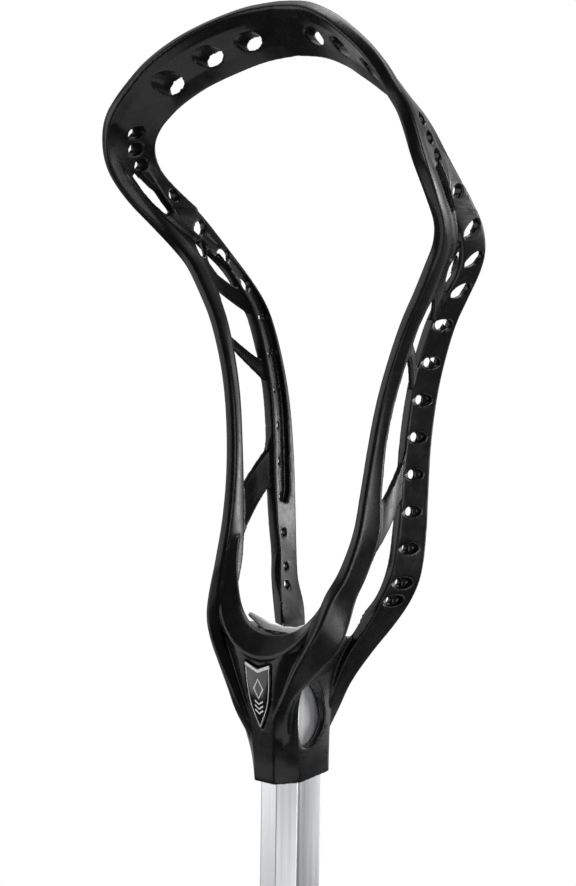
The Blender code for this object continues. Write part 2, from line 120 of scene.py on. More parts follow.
# The web: how far it reaches into the rails, half its thickness, what the scoop adds to it inside
# and outside, its edges' radius, its bow in the side wall, and where it becomes the scoop.
WEB_OVERLAP = 1.8
WEB_HALF = 1.3
WEB_ADDS = (1.3, 0.7)
WEB_EDGE_R = 0.6
WEB_BOW = 1.2
WEB_BOW_LOSS = 0.5
WEB_SCOOP = (0.66, 0.73)
WEB_STEPS = 10
# The web lies deeper between these heights and the throat, and is thicker at the head's corner.
WEB_SINK = 3.0
WEB_SINK_HEIGHTS = (58, 84)
CORNER_SWELL = 1.4
CORNER_SHARE = 0.71
CORNER_SPREAD = 0.04
# Both rails turn into the scoop here, and start this much deeper, inside the throat.
RAIL_SCOOP = (0.60, 0.72)
RAIL_SINK = 3.4
RAIL_SINK_HEIGHTS = (4, 34)
# Each rail's inner and outer face, how far it passes its edge, and its edges' radius.
FRONT_RAIL_FACES = (-2.3, 2.5)
FRONT_RAIL_ADDS = (0.3, 0.7)
FRONT_RAIL_PAST = 0.6
FRONT_RAIL_EDGE_R = 1.3
FRONT_RAIL_BULGE = (0.5, 0.25)
REAR_RAIL_FACES = (-2.8, 2.4)
REAR_RAIL_LOSS = 0.2
REAR_RAIL_PAST = 0.5
REAR_RAIL_EDGE_R = 0.8
# The front rail flares round this height, by so much forward and outward.
FLARE_HEIGHT = 72
FLARE_SPREAD = 28
FLARE_END_SHARE = 0.5
FLARE_ADDS = (0.8, 1.4)
# The rear rail's inner and outer face move outward by these at the shoulder.
SHOULDER_HEIGHT = 226
SHOULDER_SPREAD = 15
SHOULDER_MOVES = (4.4, 2.0)
LIP_HALF = 2.0
LIP_EDGE_R = 1.4
LIP_BULGE = 0.3
# The channel moulded in the inner face of the rear rail: its sides, its floor, the heights it lies
# between, and how its ends narrow to a tip.
CHANNEL = (4.1, 11.3)
CHANNEL_FLOOR = -0.2
CHANNEL_FLOOR_MOVE = 2.2
CHANNEL_INSIDE = -6.0
CHANNEL_EDGE_R = 0.5
CHANNEL_SPAN = (112.0, 236.0)
CHANNEL_END = 8.0
CHANNEL_PAST = 1.0
CHANNEL_TIP = 0.25

# Windows in the side wall, in (y, z), each with the radius of its corners, and the X planes
# between which they are cut. The last one pierces the throat too.
WINDOWS = (
    (((-15.6, 261.2), (-18.2, 258.6), (-6.0, 246.2), (-0.6, 241.6), (2.0, 243.6), (-2.6, 249.6)), 0.8),
    (((10.6, 230.6), (13.6, 230.8), (13.6, 223.2), (10.8, 222.8)), 1.0),
    (((15.6, 228.4), (18.6, 226.0), (23.4, 216.0), (24.0, 207.0), (15.8, 214.8), (13.6, 220.4)), 1.8),
    (((12.8, 208.6), (25.2, 195.8), (25.0, 175.0), (11.4, 187.8)), 1.4),
    (((10.8, 183.4), (25.6, 165.4), (25.6, 154.6), (21.6, 136.6), (7.4, 119.0), (8.4, 150.0)), 1.4),
    (((23.4, 122.6), (7.4, 99.6), (4.4, 90.0), (-1.8, 77.0), (-5.0, 69.0), (-5.4, 65.8), (4.0, 61.6),
      (14.6, 60.6), (19.6, 80.0), (24.2, 96.0)), 1.4),
)
WINDOW_SPAN = (12, 110)
# Round string holes in the rear rail, in (y, z), with oval pockets in its outer face.
RAIL_HOLES = tuple((28.2, 195.5 - 16.0 * step) for step in range(7)) + ((27.4, 84.4), (25.2, 76.6))
RAIL_HOLE_R = 1.9
RAIL_HOLE_SPAN = (20, 110)
SIDE_STATIONS = 200
POCKET_HALF = (5.2, 2.5)
POCKET_DEPTH = 1.2
POCKET_SHIFT = 0.4
POCKET_REACH = 12
# Round string holes in the corner's band, in (x, y, z), drilled this far both ways.
BAND_HOLES = ((88, -22.5, 277.5), (88, -20.0, 270.4), (88, -15.7, 263.6), (88, 1.2, 250.4))
BAND_HOLE_R = 2.7
BAND_HOLE_REACH = Vector((22, -4, 0))
# Long holes in the scoop, in (x, y, z), each turned by an angle in degrees about their axis.
SCOOP_HOLES = (((60.4, -22.7, 298.6), 31), ((39.4, -18.6, 309.3), 23), ((19.5, -13.4, 314.9), 14))
SCOOP_HOLE_HALF = (6.6, 2.7)
SCOOP_HOLE_AXIS = Vector((0, 20.0, -4.2))
# Ovals through the shoulder, in (y, z), each turned by an angle in degrees.
OVALS = (((15.6, 235.8), 48), ((25.2, 223.4), 34), ((28.8, 210.2), 22))
OVAL_HALF = (4.4, 2.9)
OVAL_SPAN = (50, 110)
# The window through each side of the throat, in (y, z).
TEARDROP = (
    (-15.2, 42.4), (-14.9, 34.4), (-13.2, 26.4), (-11.4, 19.8), (-8.8, 15.2), (-4.4, 13.8), (0.4, 16),
    (4.4, 21.9), (4.6, 27.4), (2.6, 34.4), (-3, 41.4), (-10.6, 45.8),
)
TEARDROP_SPAN = (8, 40)

# The seat of the ball stop: its U as (x, z), and how steeply it falls to the rear.
SEAT_FLOOR = ((60, 82), (34, 73.0), (24, 69.4), (17, 65.6), (9, 61.4), (0, 60))
SEAT_FRONT_Y = -10.4
SEAT_REAR_Y = 45.0
SEAT_SLOPE = 0.36
SEAT_ROOF = 60.0
# The slope in front of it, as (x, height of its crest, height of its foot).
LIP_SEAT = ((60, 120, 100), (32, 80, 63.6), (24, 71, 56), (16, 66, 50), (8, 63.2, 46), (0, 62, 44.4))
LIP_CREST_Y = -11.0
LIP_FOOT_Y = -26.0
# The foam pad: a crescent in plan, thinner towards its tips, with a curved slit in its top.
PAD_STATIONS = 60
PAD_THICK = 5.6
PAD_TAPER = 3.0
PAD_EDGE_R = 0.8
PAD_FRONT_Y = -8.4
PAD_REAR_Y = 8.0
PAD_CRESCENT = 14.6
PAD_HALF_WIDTH = 20.6
SLIT_STATIONS = 24
SLIT_REACH = 11.0
SLIT_Y = -4.6
SLIT_BEND = 3.0
SLIT_HALF = 0.55
SLIT_TIP = 0.02
SLIT_LEVELS = (3.0, 9.0)

# The badge's shield: its tip, its right side, its upper corner and the middle of its top edge.
BADGE_OUTLINE = ((0, 21.2), (5.2, 31.2), (7.2, 40.6), (7.8, 50.4), (0, 47.8))
BADGE_SIDE_STEPS = 18
BADGE_TIP_GROWTH = 1.6
BADGE_THICK = 1.6
BADGE_BEVEL = 0.25
BADGE_Y = -17.6
BADGE_LEAN = 0.09
RECESS_REACH = 20
# Its foil, in (x, z): the levels below and above the badge's face, and each line's width. The rim
# is the shield's side drawn in by a share of its width and of its height.
FOIL_LEVELS = (-0.1, 0.12)
RIM_WIDTH = 0.3
RIM_SHARE = (0.9, 0.93)
RIM_FROM_Z = 21.5
RIM_TO_Z = 22.6
FOIL_BAR = ((-7.4, 49.4), (0, 46.6), (7.4, 49.4))
FOIL_BAR_WIDTH = 1.3
LOZENGE = ((0, 43.2), (2.7, 39.0), (0, 34.8), (-2.7, 39.0))
LOZENGE_WIDTH = 0.75
CHEVRON_LEVELS = (32.2, 30.2, 28.2)
CHEVRON_REACH = (2.4, 1.5)
CHEVRON_WIDTH = 0.7

# The screw, along +Y. Its head stands on the collar's spot face.
SCREW_Z = 20.0
SCREW_R = 2.1
SCREW_SIDES = 48
SCREW_STEP = 0.12
SCREW_LENGTH = 10.0
SCREW_FACE_Y = 17.0
SPOT_REAR_Y = 40
SCREW_PATH = (6, 30)
THREAD_PITCH = 1.1
THREAD_ROOT = 0.38
THREAD_HEIGHT = 0.36
TIP_SHARE = 0.72
TIP_LENGTH = 1.2
SCREW_HEAD_R = 4.2
SCREW_HEAD = 2.2
HEAD_RIM = 0.2
HEAD_SINK = 0.05
AXIS_FLAT = 0.02
DOME_STEPS = 8
# Its cross recess: half of one slot, its depth, and its floor as a share of its mouth.
SLOT_HALF = (2.3, 0.45)
SLOT_DEPTH = 1.5
SLOT_CLEAR = 0.5
SLOT_FLOOR = 0.55

# Shaft: an eight-sided tube. Each pair is the (x, y) of a corner.
SHAFT_CORNERS = ((11.0, 7.3), (4.5, 13.4))
SHAFT_WALL = 1.3
SHAFT_CORNER_R = 0.9
SHAFT_BORE_R = 0.6
SHAFT_CHAMFER = 0.3
SHAFT_BOTTOM_Z = 3.4
SHAFT_IN_HEAD = 44.0
SOCKET_SPARE = 0.6
# Cap: a cup with grooves round it. A groove is (rise, depth) and the rim (depth, drop).
CAP_WALL = 2.4
CAP_FLOOR = 3.0
CAP_SLEEVE = 42.0
CAP_CORNER_R = 3.0
CAP_ROUND = 1.6
CAP_ROUND_STEPS = 4
CAP_GROOVES = 6
CAP_GROOVE_Z = 9.0
CAP_GROOVE_PITCH = 4.4
CAP_GROOVE = ((0, 0), (0.5, 0.7), (1.3, 0.7), (1.8, 0))
CAP_RIM = ((0, 1.6), (0.5, 0.4), (1.0, 0))
CUP_CORNER_R = 1.0
DIMPLE_R = 6.0
DIMPLE_SPAN = (-1, 0.8)

# Camera: where it stands, how far it turns from +Y towards -X, how far it looks down, its roll.
CAMERA_AT = (0.697367, -0.702477, 0.961222)
CAMERA_AZIMUTH = 45.0
CAMERA_PITCH = 4.3219
CAMERA_ROLL = 0.87548
CAMERA_LENS = 93.74
CAMERA_SENSOR = 36.0

# The floor is a thin disc just below the lowest point that the pulled cap reaches.
FLOOR_R = 700.0
FLOOR_Z = -50.0
FLOOR_THICK = 1
FLOOR_SIDES = 96
# The surround's strength rises from the front towards this direction, between these cosines.
SURROUND_TOWARDS = Vector((-0.45, 0.8, 0.4))
SURROUND_COSINES = (0.1, 0.95)
SURROUND_STRENGTHS = (0.05, 0.55)
# The broad light from above: its power, its spread and its tilt about X and Y, in degrees.
SKY_POWER = 2.8
SKY_SPREAD = 55
SKY_TILT = (-18, -12)
# Soft boxes, in metres and watts: where each stands, the height it faces, its size, its power.
SOFT_BOXES = (
    ("left_box", (-1.3, -1.3, 1.0), 0.9, (2.0, 1.6), 17),
    ("right_box", (1.8, 0.05, 0.95), 0.9, (1.1, 1.4), 18),
    ("rear_box", (0.75, 1.6, 0.9), 0.9, (0.7, 1.5), 9),
    ("rear_spark", (0.68, 1.45, 0.78), 0.9, (0.16, 0.42), 3.4),
    ("right_spark", (1.6, 0.28, 0.76), 0.9, (0.14, 0.34), 2.4),
    ("low_box", (1.05, -1.05, 0.2), 0.6, (1.2, 0.45), 3),
)
# The middle of a noise's values, which its mapping stretches.
NOISE_MIDDLE = (0.3, 0.7)

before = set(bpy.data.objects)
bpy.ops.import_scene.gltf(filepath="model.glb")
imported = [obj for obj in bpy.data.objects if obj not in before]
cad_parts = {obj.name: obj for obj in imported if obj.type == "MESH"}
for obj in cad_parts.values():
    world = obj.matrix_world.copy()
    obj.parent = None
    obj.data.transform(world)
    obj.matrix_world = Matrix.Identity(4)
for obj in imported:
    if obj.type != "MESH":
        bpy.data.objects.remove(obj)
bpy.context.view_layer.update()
COLLAR_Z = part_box("head_frame")[0].z / MM + COLLAR_SLANT * COLLAR_HALF_DEPTH


# ---------- mesh tools

def solid(name, vertices, faces):
    """A closed mesh object from points in millimetres, with its faces turned outward."""
    mesh = bpy.data.meshes.new(name)
    mesh.from_pydata([Vector(point) * MM for point in vertices], [], faces)
    shape = bmesh.new()
    shape.from_mesh(mesh)
    bmesh.ops.recalc_face_normals(shape, faces=shape.faces)
    shape.to_mesh(mesh)
    shape.free()
    item = bpy.data.objects.new(name, mesh)
    bpy.context.scene.collection.objects.link(item)
    return item


def loft(name, rings, closed=False):
    """Skins equal-length rings of points, with flat ends unless the rings close on themselves."""
    count = len(rings[0])
    vertices = [point for ring in rings for point in ring]
    faces = []
    rows = len(rings) if closed else len(rings) - 1
    for row in range(rows):
        low = row * count
        high = (row + 1) % len(rings) * count
        for column in range(count):
            after = (column + 1) % count
            faces.append((low + column, low + after, high + after, high + column))
    if not closed:
        faces.append(tuple(range(count))[::-1])
        faces.append(tuple(range(len(vertices) - count, len(vertices))))
    return solid(name, vertices, faces)


def apply_modifiers(item):
    depsgraph = bpy.context.evaluated_depsgraph_get()
    result = bpy.data.meshes.new_from_object(item.evaluated_get(depsgraph))
    item.modifiers.clear()
    item.data = result


def combine(target, tools, operation):
    """Joins or cuts target with each tool in turn, and removes the tools."""
    for tool in tools:
        modifier = target.modifiers.new(operation, "BOOLEAN")
        modifier.operation = operation
        modifier.solver = "MANIFOLD"
        modifier.object = tool
        apply_modifiers(target)
        bpy.data.objects.remove(tool, do_unlink=True)


def spline(points, steps):
    """Points at equal steps along a smooth curve through the given ones."""
    points = np.array(points, float)
    chain = np.vstack([2 * points[0] - points[1], points, 2 * points[-1] - points[-2]])
    dense = []
    for before, start, end, after in zip(chain, chain[1:], chain[2:], chain[3:]):
        for t in np.arange(SPLINE_STEPS) / SPLINE_STEPS:
            dense.append(0.5 * (2 * start + (end - before) * t
                                + (2 * before - 5 * start + 4 * end - after) * t ** 2
                                + (3 * start - before - 3 * end + after) * t ** 3))
    dense = np.array(dense + [points[-1]])
    reach = np.concatenate([[0], np.cumsum(np.linalg.norm(np.diff(dense, axis=0), axis=1))])
    goals = np.linspace(0, reach[-1], steps + 1)
    return np.stack([np.interp(goals, reach, column) for column in dense.T], axis=1)


def head_edge(rows, steps=STATIONS):
    """One edge of a strip of the head, evened out, with one mirrored point beyond X = 0."""
    flip = np.array((-1, 1, 1))
    points = spline(rows, steps)
    for _ in range(EDGE_SMOOTHING):
        ends = np.vstack([2 * points[0] - points[1], points, points[-2] * flip])
        points = (ends[:-2] + 2 * ends[1:-1] + ends[2:]) / 4
    points[:, 2] += COLLAR_Z
    return np.vstack([points, points[-2] * flip])


def strip(name, edge_a, edge_b, profile, span=None):
    """Sweeps a profile along two edges: profile(width, height, share of the way) gives its
    (across, outward) pairs. A span of heights keeps only that stretch of the side wall."""
    rings = []
    last = len(edge_a) - 1
    for index, (a, b) in enumerate(zip(edge_a, edge_b)):
        height = (a[2] + b[2]) / 2 - COLLAR_Z
        if span and not (span[0] <= height <= span[1] and index < last * SPAN_SHARE):
            continue
        ahead = min(index + 1, last)
        behind = max(index - 1, 0)
        along = edge_a[ahead] + edge_b[ahead] - edge_a[behind] - edge_b[behind]
        width = np.linalg.norm(b - a)
        across = (b - a) / width
        outward = np.cross(across, along)
        outward /= np.linalg.norm(outward)
        rings.append([a + across * s + outward * n for s, n in profile(width, height, index / last)])
    return loft(name, rings)


def bar(low, high, inner, outer, radius, bulge_in=0.0, bulge_out=0.0, steps=6):
    """A rounded rectangle, (across, outward), whose long faces may bulge."""
    middle = (low + high) / 2
    half = (high - low) / 2
    ring = []

    def face(start, end, level, bulge):
        for step in range(steps + 1):
            s = start + (end - start) * step / steps
            ring.append((s, level + bulge * (1 - ((s - middle) / half) ** 2)))

    def corner(s, n, first):
        for step in range(1, BAR_ARC):
            angle = math.radians(first + 90 * step / BAR_ARC)
            ring.append((s + radius * math.cos(angle), n + radius * math.sin(angle)))

    left, right = low + radius, high - radius
    bottom, top = inner + radius, outer - radius
    face(right, left, outer, bulge_out)
    corner(left, top, 90)
    ring += [(low, top), (low, bottom)]
    corner(left, bottom, 180)
    face(left, right, inner, -bulge_in)
    corner(right, bottom, 270)
    ring += [(high, bottom), (high, top)]
    corner(right, top, 0)
    return ring


def prism_x(name, outline, span):
    """A column between two X planes, with an outline in (y, z) from the collar's edge."""
    return loft(name, [[(x, y, z + COLLAR_Z) for y, z in outline] for x in span])


def rounded(outline, radius, arc_steps=6):
    """The outline with each corner replaced by a curve that touches both its sides."""
    result = []
    count = len(outline)
    for index in range(count):
        corner = Vector(outline[index])
        back = Vector(outline[index - 1]) - corner
        ahead = Vector(outline[(index + 1) % count]) - corner
        half_angle = back.angle(ahead) / 2
        longest = min(back.length, ahead.length) * CORNER_LIMIT
        reach = min(radius / math.tan(half_angle), longest)
        start = corner + back.normalized() * reach
        end = corner + ahead.normalized() * reach
        for step in range(arc_steps + 1):
            t = step / arc_steps
            point = start * (1 - t) ** 2 + corner * 2 * t * (1 - t) + end * t * t
            result.append((point.x, point.y))
    return result


def closed_curve(points):
    """A smooth closed outline: one turn of a spline that overruns its start and its end."""
    points = list(points)
    dense = spline(points[-3:] + points + points[:3], CURVE_STEPS * 3)
    away = np.linalg.norm(dense - np.array(points[0]), axis=1)
    first = int(np.argmin(away[:CURVE_STEPS]))
    last = int(np.argmin(away[first + CURVE_STEPS:])) + first + CURVE_STEPS
    return [tuple(point) for point in dense[first:last]]


def rod(name, start, end, radius, sides=32):
    """A straight round bar between two points."""
    return oval_rod(name, start, end, (radius, radius), 0, sides)


def oval_rod(name, start, end, halves, turn=0, sides=40):
    """A straight oval bar between two points, turned about its axis by an angle in degrees."""
    start, end = Vector(start), Vector(end)
    axis = (end - start).normalized()
    side = Vector((0, 1, 0)) if abs(axis.x) > abs(axis.y) else Vector((1, 0, 0))
    side = (side - axis * side.dot(axis)).normalized()
    other = axis.cross(side)
    cos_turn = math.cos(math.radians(turn))
    sin_turn = math.sin(math.radians(turn))
    rings = []
    for centre in (start, end):
        ring = []
        for step in range(sides):
            angle = math.tau * step / sides
            u = math.cos(angle) * halves[0]
            v = math.sin(angle) * halves[1]
            ring.append(centre + side * (u * cos_turn - v * sin_turn)
                        + other * (u * sin_turn + v * cos_turn))
        rings.append(ring)
    return loft(name, rings)


def screw_path(name, start, end, radius):
    """A round cutter on the screw's axis, between two Y planes."""
    z = COLLAR_Z + SCREW_Z
    return rod(name, (0, start, z), (0, end, z), radius)


def octagon(offset, z, corner):
    """The shaft's section at height z, moved outward, with its corners rounded by a radius or not."""
    (x0, y0), (x1, y1) = SHAFT_CORNERS
    slope = math.atan2(y1 - y0, x0 - x1)
    side_corner = (x0 + offset, y0 + offset * math.tan((math.pi / 2 - slope) / 2))
    front_corner = (x1 + offset * math.tan(slope / 2), y1 + offset)
    quarter = [side_corner, front_corner]
    ring = quarter + [(-x, y) for x, y in reversed(quarter)]
    ring += [(-x, -y) for x, y in ring]
    if corner:
        ring = rounded(ring, corner, OCTAGON_ARC)
    return [(x, y, z) for x, y in ring]


def mirror_half(item):
    """Keeps the half at X > 0 and closes the whole with its mirror image."""
    shape = bmesh.new()
    shape.from_mesh(item.data)
    geometry = shape.verts[:] + shape.edges[:] + shape.faces[:]
    bmesh.ops.bisect_plane(shape, geom=geometry, plane_co=(0, 0, 0), plane_no=(1, 0, 0),
                           clear_inner=True, dist=MERGE)
    for vertex in shape.verts:
        if abs(vertex.co.x) < 2 * MERGE:
            vertex.co.x = 0.0
    bmesh.ops.mirror(shape, geom=shape.verts[:] + shape.edges[:] + shape.faces[:],
                     axis="X", merge_dist=MERGE)
    bmesh.ops.recalc_face_normals(shape, faces=shape.faces)
    shape.to_mesh(item.data)
    shape.free()


def soften(item, voxel, passes, triangles):
    """Melts the piece into one skin with small round edges, and thins its mesh."""
    remesh = item.modifiers.new("remesh", "REMESH")
    remesh.mode = "VOXEL"
    remesh.voxel_size = voxel * MM
    relax = item.modifiers.new("relax", "SMOOTH")
    relax.factor = 0.5
    relax.iterations = passes
    apply_modifiers(item)
    count = sum(len(face.vertices) - 2 for face in item.data.polygons)
    if count > triangles:
        thin = item.modifiers.new("thin", "DECIMATE")
        thin.ratio = triangles / count
        apply_modifiers(item)
    item.data.shade_smooth()


def shade(item, sharp_degrees):
    """Shades the piece smooth, except at edges that turn more sharply than the angle."""
    item.data.shade_smooth()
    item.data.set_sharp_from_angle(angle=math.radians(sharp_degrees))


# ---------- materials

def map_range(nodes, links, value, sources, targets, shape="LINEAR"):
    """The value with one range of numbers mapped onto another."""
    ramp = nodes.new("ShaderNodeMapRange")
    ramp.interpolation_type = shape
    for socket, number in zip(("From Min", "From Max", "To Min", "To Max"), sources + targets):
        ramp.inputs[socket].default_value = number
    links.new(value, ramp.inputs["Value"])
    return ramp.outputs["Result"]


class Finish:
    """A Principled material whose colour, roughness and relief follow noise in the object's space."""

    def __init__(self, name, colour, roughness, metallic=0.0):
        self.material = bpy.data.materials.new(name)
        self.material.use_nodes = True
        self.nodes = self.material.node_tree.nodes
        self.links = self.material.node_tree.links
        self.inputs = self.nodes["Principled BSDF"].inputs
        self.inputs["Base Color"].default_value = (*colour, 1.0)
        self.inputs["Roughness"].default_value = roughness
        self.inputs["Metallic"].default_value = metallic
        self.relief = None

    def place(self):
        return self.nodes.new("ShaderNodeTexCoord").outputs["Object"]

    def noise(self, scale, detail, stretch=(1, 1, 1)):
        """Noise with its scale in cycles per metre."""
        mapping = self.nodes.new("ShaderNodeMapping")
        mapping.inputs["Scale"].default_value = stretch
        texture = self.nodes.new("ShaderNodeTexNoise")
        texture.inputs["Scale"].default_value = scale
        texture.inputs["Detail"].default_value = detail
        self.links.new(self.place(), mapping.inputs["Vector"])
        self.links.new(mapping.outputs["Vector"], texture.inputs["Vector"])
        return texture.outputs["Fac"]

    def cells(self, scale):
        """The distance to the middle of each small cell."""
        texture = self.nodes.new("ShaderNodeTexVoronoi")
        texture.inputs["Scale"].default_value = scale
        self.links.new(self.place(), texture.inputs["Vector"])
        return texture.outputs["Distance"]

    def spread(self, value, low=0.0, high=1.0):
        """Maps the middle of a noise value onto low..high."""
        return map_range(self.nodes, self.links, value, NOISE_MIDDLE, (low, high))

    def tint(self, value, dark, light):
        """Colours the surface from dark to light as the value goes from 0 to 1."""
        mix = self.nodes.new("ShaderNodeMix")
        mix.data_type = "RGBA"
        mix.inputs["A"].default_value = (*dark, 1.0)
        mix.inputs["B"].default_value = (*light, 1.0)
        self.links.new(value, mix.inputs["Factor"])
        self.links.new(mix.outputs["Result"], self.inputs["Base Color"])

    def roughen(self, value, low, high):
        """Roughness from low to high as the noise value rises."""
        self.links.new(self.spread(value, low, high), self.inputs["Roughness"])

    def bump(self, value, strength, depth):
        """Relief, on top of the relief that is there already; its depth is in millimetres."""
        node = self.nodes.new("ShaderNodeBump")
        node.inputs["Strength"].default_value = strength
        node.inputs["Distance"].default_value = depth * MM
        self.links.new(value, node.inputs["Height"])
        if self.relief:
            self.links.new(self.relief.outputs["Normal"], node.inputs["Normal"])
        self.links.new(node.outputs["Normal"], self.inputs["Normal"])
        self.relief = node


def black_nylon():
    """Injection-moulded black nylon: glossy, with a fine grain and slow flow marks."""
    nylon = Finish("black_nylon", (0.008, 0.008, 0.009), roughness=0.3)
    nylon.inputs["Specular IOR Level"].default_value = 0.26
    mottle = nylon.noise(scale=90, detail=4)
    nylon.tint(nylon.spread(mottle), dark=(0.004, 0.004, 0.0045), light=(0.009, 0.009, 0.010))
    nylon.roughen(nylon.noise(scale=240, detail=5), low=0.22, high=0.3)
    nylon.bump(nylon.noise(scale=45, detail=1), strength=0.12, depth=0.2)
    nylon.bump(nylon.noise(scale=1800, detail=2), strength=0.08, depth=0.03)
    return nylon.material


def satin_aluminium():
    """Anodised tube: fine lengthwise draw lines under a satin finish."""
    metal = Finish("satin_aluminium", (0.70, 0.71, 0.73), roughness=0.42, metallic=1.0)
    lines = metal.noise(scale=900, detail=4, stretch=(1, 1, 0.012))
    cloud = metal.noise(scale=35, detail=3)
    metal.tint(metal.spread(cloud), dark=(0.66, 0.67, 0.685), light=(0.74, 0.745, 0.76))
    metal.roughen(lines, low=0.28, high=0.4)
    metal.bump(lines, strength=0.12, depth=0.04)
    return metal.material


def white_foam():
    """Closed-cell foam with a skin of fine cells."""
    foam = Finish("white_foam", (0.92, 0.92, 0.91), roughness=0.85)
    dirt = foam.noise(scale=120, detail=3)
    foam.tint(foam.spread(dirt), dark=(0.89, 0.89, 0.88), light=(0.95, 0.95, 0.945))
    foam.bump(foam.cells(scale=1400), strength=0.5, depth=0.12)
    return foam.material


def black_rubber():
    """Moulded rubber, dull, with a fine pebble grain and dusty patches."""
    rubber = Finish("black_rubber", (0.02, 0.02, 0.02), roughness=0.7)
    dust = rubber.noise(scale=110, detail=5)
    rubber.tint(rubber.spread(dust), dark=(0.014, 0.014, 0.014), light=(0.034, 0.033, 0.032))
    rubber.roughen(dust, low=0.6, high=0.82)
    rubber.bump(rubber.noise(scale=2200, detail=2), strength=0.4, depth=0.08)
    return rubber.material


def badge_enamel():
    """Glossy black enamel with faint ripple."""
    enamel = Finish("badge_enamel", (0.006, 0.006, 0.007), roughness=0.1)
    enamel.roughen(enamel.noise(scale=300, detail=3), low=0.07, high=0.16)
    enamel.bump(enamel.noise(scale=160, detail=2), strength=0.1, depth=0.1)
    return enamel.material


def silver_foil():
    """Bright foil of the badge's lines."""
    foil = Finish("silver_foil", (0.86, 0.86, 0.87), roughness=0.4, metallic=0.15)
    foil.roughen(foil.noise(scale=1200, detail=3), low=0.25, high=0.45)
    foil.bump(foil.noise(scale=2500, detail=2), strength=0.1, depth=0.03)
    return foil.material


def zinc_steel():
    """Zinc-plated steel, cloudy and finely pitted."""
    steel = Finish("zinc_steel", (0.56, 0.56, 0.57), roughness=0.34, metallic=1.0)
    cloud = steel.noise(scale=600, detail=4)
    steel.tint(steel.spread(cloud), dark=(0.48, 0.48, 0.49), light=(0.66, 0.66, 0.67))
    steel.roughen(cloud, low=0.26, high=0.44)
    steel.bump(steel.noise(scale=4000, detail=2), strength=0.2, depth=0.03)
    return steel.material


def pale_floor():
    """Plain pale ground with faint broad patches."""
    ground = Finish("pale_floor", (0.93, 0.93, 0.93), roughness=0.9)
    ground.tint(ground.noise(scale=6, detail=4), dark=(0.80, 0.80, 0.80), light=(0.83, 0.83, 0.83))
    return ground.material


# ---------- the head

def make_throat():
    """The throat's body, lofted smoothly through its sections."""
    rows = [(height, *sum(corners, ())) for height, corners in THROAT_SECTIONS]
    rings = []
    for height, *numbers in spline(rows, THROAT_STATIONS):
        slant = COLLAR_SLANT * max(0.0, 1 - height / COLLAR_SLANT_HEIGHT)
        corners = zip(numbers[::2], numbers[1::2])
        ring = [(x, y, height + slant * y + COLLAR_Z) for x, y in corners]
        ring += [(-x, y, z) for x, y, z in reversed(ring)]
        rings.append(ring)
    return loft("throat", rings)


def seat_height(x, y):
    """Height of the seat above the collar's edge: a U across the throat that falls to the rear."""
    places, levels = zip(*reversed(SEAT_FLOOR))
    return float(np.interp(abs(x), places, levels)) - SEAT_SLOPE * (y - SEAT_FRONT_Y)


def both_sides(rows):
    """The rows given for X >= 0, outermost first, repeated for both sides from left to right."""
    return [(-x, *rest) for x, *rest in rows] + [(x, *rest) for x, *rest in reversed(rows[:-1])]


def under_roof(floor):
    """The section above a floor line, up to a line that repeats it higher up."""
    return floor + [(x, y, z + SEAT_ROOF) for x, y, z in reversed(floor)]


def seat_cutters():
    """What is cut from the throat's top: the slope in front of the lip's crest, then the seat."""
    lip = both_sides(LIP_SEAT)
    foot = under_roof([(x, LIP_FOOT_Y, low + COLLAR_Z) for x, _, low in lip])
    crest = under_roof([(x, LIP_CREST_Y, high + COLLAR_Z) for x, high, _ in lip])
    seat = []
    for y in (SEAT_FRONT_Y, SEAT_REAR_Y):
        seat.append(under_roof([(x, y, seat_height(x, y) + COLLAR_Z) for x, _ in both_sides(SEAT_FLOOR)]))
    return [loft("lip_slope", [foot, crest]), loft("seat", seat)]


def ease(value, start, end):
    """0 before start, 1 after end, and a smooth step between them."""
    share = min(1.0, max(0.0, (value - start) / (end - start)))
    return share * share * (3 - 2 * share)


def hill(value, centre, spread):
    """1 at the centre, falling to 0 on both sides."""
    return math.exp(-((value - centre) / spread) ** 2)


def shoulder(height, share):
    """From 0 to 1 at the shoulder, where the rear rail stands out and is thinner."""
    return hill(height, SHOULDER_HEIGHT, SHOULDER_SPREAD) if share < SHOULDER_END_SHARE else 0.0


def rail_sink(height):
    return RAIL_SINK * (1 - ease(height, *RAIL_SINK_HEIGHTS))


def web_profile(width, height, share):
    """Thin and bowed in the side wall, thick and flush with the rails in the scoop."""
    scoop = ease(share, *WEB_SCOOP)
    sink = WEB_SINK * (1 - ease(height, *WEB_SINK_HEIGHTS))
    corner = CORNER_SWELL * hill(share, CORNER_SHARE, CORNER_SPREAD)
    inner = -WEB_HALF - WEB_ADDS[0] * scoop - sink
    outer = WEB_HALF + WEB_ADDS[1] * scoop + corner - sink
    return bar(-WEB_OVERLAP, width + WEB_OVERLAP, inner, outer, WEB_EDGE_R, steps=WEB_STEPS,
               bulge_in=-WEB_BOW * (1 - scoop), bulge_out=WEB_BOW - WEB_BOW_LOSS * scoop)


def front_rail_profile(width, height, share):
    """Flared above the lip, and a little thicker in the scoop."""
    scoop = ease(share, *RAIL_SCOOP)
    flare = hill(height, FLARE_HEIGHT, FLARE_SPREAD) if share < FLARE_END_SHARE else 0.0
    sink = rail_sink(height)
    inner = FRONT_RAIL_FACES[0] - FRONT_RAIL_ADDS[0] * scoop - sink
    outer = FRONT_RAIL_FACES[1] + FRONT_RAIL_ADDS[1] * scoop + FLARE_ADDS[1] * flare - sink
    return bar(-FRONT_RAIL_PAST - FLARE_ADDS[0] * flare, width, inner, outer, FRONT_RAIL_EDGE_R,
               bulge_in=FRONT_RAIL_BULGE[0] * (1 - scoop), bulge_out=FRONT_RAIL_BULGE[1])


